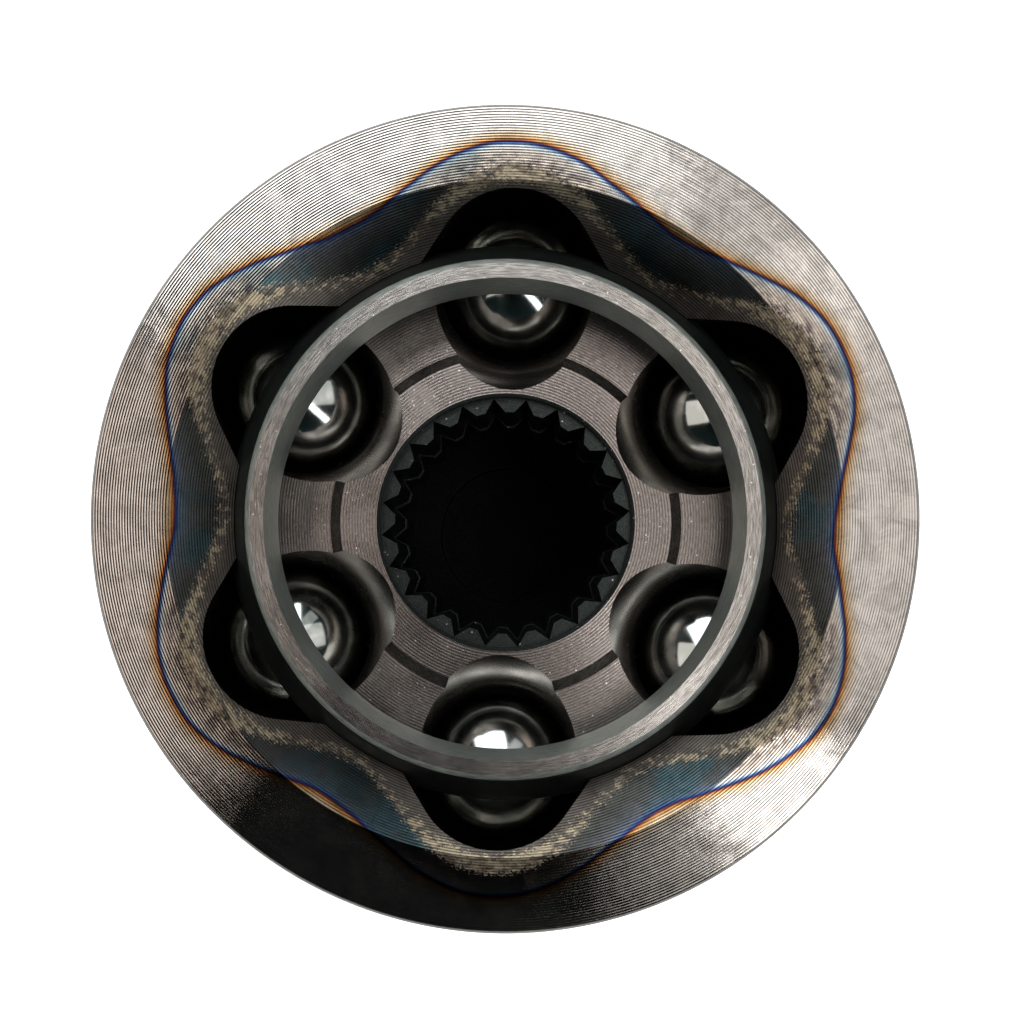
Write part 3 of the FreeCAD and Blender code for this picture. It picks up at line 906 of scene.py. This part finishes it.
    # scale and the steel inside it are rough, the cone is half as rough, and handling dulls a bit
    rough = addNode(tree, "MapRange", {
        0: handled, 3: look["roughness"], 4: look["handledRoughness"],
    })
    dulled = addNode(tree, "Math", {0: 1.0, 1: beyond}, operation="SUBTRACT")
    dulled = addNode(tree, "Math", {0: dulled, 1: scaly}, operation="MAXIMUM")
    onCone = addNode(tree, "MapRange", {0: onFace, 3: 0.5, 4: 0.0})
    dulled = addNode(tree, "Math", {0: dulled, 1: onCone}, operation="MAXIMUM")
    dulled = addNode(tree, "Math", {0: dulled, 1: atMouth}, operation="MULTIPLY")
    rough = addNode(tree, "Mix", {0: dulled, 2: rough, 3: look["dullRoughness"]})
    surface = addNode(tree, "BsdfPrincipled", {
        "Base Color": colour,
        "Metallic": 1.0,
        "Roughness": rough,
        "Normal": bump,
        "Tangent": addNode(tree, "Tangent", {}, direction_type="RADIAL", axis="Z"),
        "Anisotropic": look["grain"],
        "Anisotropic Rotation": 0.25,
    })
    addNode(tree, "OutputMaterial", {"Surface": surface})
    return steel


# What each ring-like finish looks like. Line pitch and height are in mm; streaks are the fine
# scratches that run round the axis; burr glints are painted highlights, tiny near-white specks
# where burrs catch the light, and pits are dark specks.
cageEndSteel = {
    "name": "cage_steel_ground_satin",
    "light": "#C8C5C0", "dark": "#7C7975",
    "roughness": 0.25, "grain": 0.7,
    "linePitch": 0.31, "lineHeight": 0.0004, "lineShade": 0.93,
    "streakWidth": 0.18, "streakLength": 5.0, "streakHeight": 0.0032,
    "burrGlints": 0.9, "pits": 0.5,
}
cageBevelSteel = {
    "name": "cage_steel_turned_grey",
    "light": "#B4BBB6", "dark": "#959C97",
    "roughness": 0.48, "grain": 0.3,
    "linePitch": 0.4, "lineHeight": 0.001, "lineShade": 0.9,
    "streakWidth": 0.3, "streakLength": 6.0, "streakHeight": 0.003,
    "burrGlints": 0.3, "pits": 0.4,
}
# Painted shade: the outside of the cage and its windows are painted dark, for the shade in the gap
# between cage and bell.
cageOutsideShadeSteel = {
    "name": "cage_steel_outside_painted_shade",
    "light": "#4E5653", "dark": "#3A413F",
    "roughness": 0.4, "grain": 0.2,
    "linePitch": 0.4, "lineHeight": 0.001, "lineShade": 0.9,
    "streakWidth": 0.4, "streakLength": 6.0, "streakHeight": 0.003,
    "burrGlints": 0.15, "pits": 0.3,
}
starFaceSteel = {
    "name": "case_steel_turned_satin",
    "light": "#ADA5A0", "dark": "#88817D",
    "roughness": 0.26, "grain": 0.75,
    "linePitch": 0.3, "lineHeight": 0.0042, "lineShade": 0.62,
    "streakWidth": 0.3, "streakLength": 4.0, "streakHeight": 0.002,
    "burrGlints": 0.9, "pits": 0.4,
}
# Painted shade: the splined bore of the star is painted dark grey, for the shade inside it.
boreShadeSteel = {
    "name": "case_steel_broached_painted_shade",
    "light": "#3E4442", "dark": "#2E3332",
    "roughness": 0.36, "grain": 0.0,
    "linePitch": 0.3, "lineHeight": 0.002, "lineShade": 0.9,
    "streakWidth": 0.5, "streakLength": 2.0, "streakHeight": 0.001,
    "burrGlints": 0.5, "pits": 0.3,
}
# Painted shade: the bowl inside the bell and its floor are painted near black, for the shade deep
# in the joint.
cavityShadeSteel = {
    "name": "bearing_steel_cavity_painted_shade",
    "light": "#26272B", "dark": "#18191C",
    "roughness": 0.55, "grain": 0.0,
    "linePitch": 0.5, "lineHeight": 0.003, "lineShade": 0.85,
    "streakWidth": 1.0, "streakLength": 3.0, "streakHeight": 0.002,
    "burrGlints": 0.0, "pits": 0.2,
}
stubSteel = {
    "name": "bearing_steel_turned_oiled",
    "light": "#A09B93", "dark": "#716D67",
    "roughness": 0.32, "grain": 0.6,
    "linePitch": 0.3, "lineHeight": 0.004, "lineShade": 0.7,
    "streakWidth": 0.3, "streakLength": 4.0, "streakHeight": 0.004,
    "burrGlints": 0.3, "pits": 0.4,
}

# What these finishes share, in mm. The painted burr glints and the pits are drawn about 0.1 mm
# across, which is coarser than real ones, because finer marks would be too small to show.
ringMarks = {
    "streakRadius": 24.0,    # where the length of a streak is measured
    "patchSize": 4.545,
    "roughnessSpread": 0.03,
    "clusterSize": 1.111,
    # spacing, the shares of it at which a mark begins and is full, the shares of the cluster
    # noise between which marks thicken, and colour
    "burrGlints": (2 / 3, 0.17, 0.08, 0.52, 0.58, "#F4F2EE"),
    "pits": (0.909, 0.13, 0.06, 0.48, 0.42, "#161616"),
}


# Steel that was turned or ground round the axis: soft arcs of light across fine lines.
def makeRingSteel(look):
    steel, tree = newMaterial(look["name"])
    place, radius, angle, height = aroundAxis(tree)
    spot = streakSpot(
        tree, radius, angle, height,
        look["streakWidth"], look["streakLength"], ringMarks["streakRadius"],
    )
    streak = addNode(tree, "TexNoise", {"Vector": spot, "Detail": 1.5, "Roughness": 0.45})
    shade = addNode(tree, "MapRange", {0: streak, 1: 0.36, 2: 0.64})
    colour = addNode(tree, "Mix", {
        0: shade, 6: fromHex(look["dark"]), 7: fromHex(look["light"]),
    }, **blended)

    # lines of the tool, deeper in some patches than in others
    turns = addNode(tree, "Math", {0: radius, 1: height}, operation="ADD")
    wave = addNode(tree, "Math", {
        0: turns, 1: 2 * math.pi / look["linePitch"],
    }, operation="MULTIPLY")
    wave = addNode(tree, "Math", {0: wave}, operation="SINE")
    patches = addNode(tree, "TexNoise", {
        "Vector": place, "Scale": 1 / ringMarks["patchSize"], "Detail": 2.0,
    })
    depth = addNode(tree, "Math", {0: wave, 1: patches}, operation="MULTIPLY")
    # painted shade: the bottom of each tool line is darkened in colour
    groove = addNode(tree, "MapRange", {0: depth, 1: -0.5, 2: 0.1, 3: look["lineShade"]})
    colour = addNode(tree, "Mix", {0: 1.0, 6: colour, 7: groove}, **darkened)

    # painted highlights of burrs in some clusters, and pits in others
    clusters = addNode(tree, "TexNoise", {
        "Vector": place, "Scale": 1 / ringMarks["clusterSize"], "Detail": 2.0,
    })
    for kind in ("burrGlints", "pits"):
        spacing, begin, full, fewest, most, tone = ringMarks[kind]
        cells = addNode(tree, "TexVoronoi", {"Vector": place, "Scale": 1 / spacing})
        mark = addNode(tree, "MapRange", {0: cells, 1: begin, 2: full, 4: look[kind]})
        here = addNode(tree, "MapRange", {0: clusters, 1: fewest, 2: most})
        mark = addNode(tree, "Math", {0: mark, 1: here}, operation="MULTIPLY")
        colour = addNode(tree, "Mix", {0: mark, 6: colour, 7: fromHex(tone)}, **blended)

    # patches is about a half on average, so twice the height gives the real one
    lift = addNode(tree, "Math", {0: depth, 1: 2 * look["lineHeight"]}, operation="MULTIPLY")
    lift = addNode(tree, "Math", {
        0: streak, 1: look["streakHeight"], 2: lift,
    }, operation="MULTIPLY_ADD")
    bump = addNode(tree, "Bump", {"Height": lift, "Distance": mm})
    rough = addNode(tree, "MapRange", {
        0: patches, 1: 0.3, 2: 0.7,
        3: look["roughness"] - ringMarks["roughnessSpread"],
        4: look["roughness"] + ringMarks["roughnessSpread"],
    })
    surface = addNode(tree, "BsdfPrincipled", {
        "Base Color": colour,
        "Metallic": 1.0,
        "Roughness": rough,
        "Normal": bump,
        "Tangent": addNode(tree, "Tangent", {}, direction_type="RADIAL", axis="Z"),
        "Anisotropic": look["grain"],
        "Anisotropic Rotation": 0.25,
    })
    addNode(tree, "OutputMaterial", {"Surface": surface})
    return steel


# A track is blackened by hardening, ground and wet with oil: dark, with soft broad gleams. A ball
# is lapped to a clear mirror under a thin, uneven film of oil. Sizes and heights are in mm.
bellTrackSteel = {
    "name": "bearing_steel_track_ground_black",
    "light": "#BAB3AD", "dark": "#7A7571",
    "lightRoughness": 0.13, "darkRoughness": 0.23,
    "cloudSize": 5.0, "cloudDetail": 3.0, "cloudSwirl": 0.0, "cloudEdge": (0.32, 0.68),
    "grainSize": 0.5, "grainDetail": 2.0, "grainHeight": 0.003,
}
starTrackSteel = {
    **bellTrackSteel,
    "name": "case_steel_track_ground_oiled",
    "light": "#A39A94", "dark": "#6A6460",
    "lightRoughness": 0.19, "darkRoughness": 0.29,
}
ballSteel = {
    "name": "chrome_steel_lapped_oiled",
    "light": "#C6CBC9", "dark": "#9AA3A0",
    "lightRoughness": 0.15, "darkRoughness": 0.1,
    "cloudSize": 3.333, "cloudDetail": 2.0, "cloudSwirl": 0.6, "cloudEdge": (0.4, 0.65),
    "grainSize": 2.0, "grainDetail": 1.0, "grainHeight": 0.008,
}


def makeGroundSteel(look):
    steel, tree = newMaterial(look["name"])
    place = aroundAxis(tree)[0]
    clouds = addNode(tree, "TexNoise", {
        "Vector": place, "Scale": 1 / look["cloudSize"],
        "Detail": look["cloudDetail"], "Distortion": look["cloudSwirl"],
    })
    begin, full = look["cloudEdge"]
    clouds = addNode(tree, "MapRange", {0: clouds, 1: begin, 2: full})
    colour = addNode(tree, "Mix", {
        0: clouds, 6: fromHex(look["dark"]), 7: fromHex(look["light"]),
    }, **blended)
    rough = addNode(tree, "MapRange", {
        0: clouds, 3: look["darkRoughness"], 4: look["lightRoughness"],
    })
    grain = addNode(tree, "TexNoise", {
        "Vector": place, "Scale": 1 / look["grainSize"], "Detail": look["grainDetail"],
    })
    bump = addNode(tree, "Bump", {"Height": grain, "Distance": look["grainHeight"] * mm})
    surface = addNode(tree, "BsdfPrincipled", {
        "Base Color": colour, "Metallic": 1.0, "Roughness": rough, "Normal": bump,
    })
    addNode(tree, "OutputMaterial", {"Surface": surface})
    return steel


# Every face already knows which of the finishes it takes, by its number.
def placePiece(obj, body, node, finishes, replace=True):
    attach(obj, body)
    if replace:
        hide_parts(node)
    for finish in finishes:
        obj.data.materials.append(finish)


bellFinishes = [
    makeTurnedSteel(), makeRingSteel(cavityShadeSteel), makeGroundSteel(bellTrackSteel)
]
stubFinishes = [makeRingSteel(stubSteel)]
starFinishes = [
    makeRingSteel(starFaceSteel), makeGroundSteel(starTrackSteel), makeRingSteel(boreShadeSteel)
]
cageFinishes = [
    makeRingSteel(cageEndSteel), makeRingSteel(cageBevelSteel), makeRingSteel(cageOutsideShadeSteel)
]
ballFinishes = [makeGroundSteel(ballSteel)]
print("finishes made")

# The bell stands for the whole CAD outer race, and the stub shaft and its thread ride along.
placePiece(makeBell(), "outer_race", "outer_race", bellFinishes)
placePiece(makeStub(), "outer_race", "outer_race", stubFinishes, replace=False)
placePiece(makeThread(), "outer_race", "outer_race", stubFinishes, replace=False)
print("outer race built")
placePiece(makeStar(), "inner_race", "inner_race", starFinishes)
print("inner race built")
placePiece(makeCage(), "cage", "cage", cageFinishes)
for index in range(joint["ballCount"]):
    node = f"ball_{index + 1}"
    placePiece(makeBall(index), node, node, ballFinishes)
print("cage and balls built")


view = {
    "distance": 98.0,        # above the mouth of the bell
    "sideways": 0.96,
    "down": 4.62,
    "roll": 2.0,
    "lens": 35.849,
    "sensorWidth": 36,
    "nearest": 1.0,
    "shift": (-0.00143, 0.05405),
}
camera = bpy.data.cameras.new("camera")
camera.lens = view["lens"]
camera.sensor_width = view["sensorWidth"]
camera.clip_start = view["nearest"] * mm
camera.shift_x, camera.shift_y = view["shift"]
cameraObject = newObject("camera", camera)
eyeHeight = bell["mouthHeight"] + view["distance"]
cameraObject.location = Vector((view["sideways"], -view["down"], eyeHeight)) * mm
cameraObject.rotation_euler = (0, 0, math.radians(view["roll"]))
bpy.context.scene.camera = cameraObject

# Softboxes round the joint: bearing from +X and lean from straight up in degrees, width and
# length in metres, strength and colour.
softboxes = {
    "top": (108, 43.5, 0.66, 0.54, 3.6, "#FFFFFF"),
    "right": (12, 29, 0.52, 0.76, 1.1, "#FFF8F4"),
    "upper_right": (52, 38, 0.22, 0.54, 0.65, "#FFFCFA"),
    "left": (184, 40, 0.50, 0.50, 1.55, "#FFF0E8"),
    "lower_right": (320, 41, 0.13, 0.58, 4.8, "#FFFCFA"),
}
studio = {
    "softboxDistance": 0.75,     # metres from the joint
    # light of the room from below to straight above, so the steel mirrors dark walls
    "room": [
        (0.0, "#FFFFFF"), (0.25, "#D8DADA"), (0.42, "#2A3436"), (0.55, "#1E2829"),
        (0.8, "#182020"), (0.9, "#07090B"), (1.0, "#050708"),
    ],
    "floorReach": 3.0,           # metres to each side
    "floorGap": 0.3,             # mm below the part
    "paper": "#F4F4F2",
    "paperRoughness": 0.9,
    "paperGlow": 0.85,
}
for name, (bearing, lean, width, length, strength, tone) in softboxes.items():
    lamp = bpy.data.lights.new(name, "AREA")
    lamp.shape = "RECTANGLE"
    lamp.size, lamp.size_y = width, length
    lamp.energy = strength * width * length * math.pi
    lamp.color = fromHex(tone)[:3]
    around = Matrix.Rotation(math.radians(bearing + 90), 4, "Z")
    tilted = Matrix.Rotation(math.radians(lean), 4, "X")
    away = Matrix.Translation((0, 0, studio["softboxDistance"]))
    newObject(name, lamp).matrix_world = around @ tilted @ away

world = bpy.data.worlds.new("studio")
bpy.context.scene.world = world
world.use_nodes = True
tree = world.node_tree
upwards = addNode(tree, "SeparateXYZ", {0: addNode(tree, "TexCoord", {}, out="Generated")}, out=2)
roomLight = addNode(tree, "ValToRGB", {0: upwards}, stops=studio["room"])
tree.links.new(roomLight, tree.nodes["Background"].inputs["Color"])

reach, level = studio["floorReach"], cadBox[0][2] - studio["floorGap"] * mm
corners = [(x * reach, y * reach, level) for x, y in ((-1, -1), (1, -1), (1, 1), (-1, 1))]
floorMesh = bpy.data.meshes.new("studio_floor")
floorMesh.from_pydata(corners, [], [(0, 1, 2, 3)])
newObject("studio_floor", floorMesh)
paper = bpy.data.materials.new("white_paper_matt")
paper.use_nodes = True
paperShader = paper.node_tree.nodes["Principled BSDF"]
paperShader.inputs["Base Color"].default_value = fromHex(studio["paper"])
paperShader.inputs["Roughness"].default_value = studio["paperRoughness"]
paperShader.inputs["Emission Color"].default_value = (1, 1, 1, 1)
paperShader.inputs["Emission Strength"].default_value = studio["paperGlow"]
floorMesh.materials.append(paper)
bpy.context.scene.view_settings.view_transform = "Standard"
print("studio built")
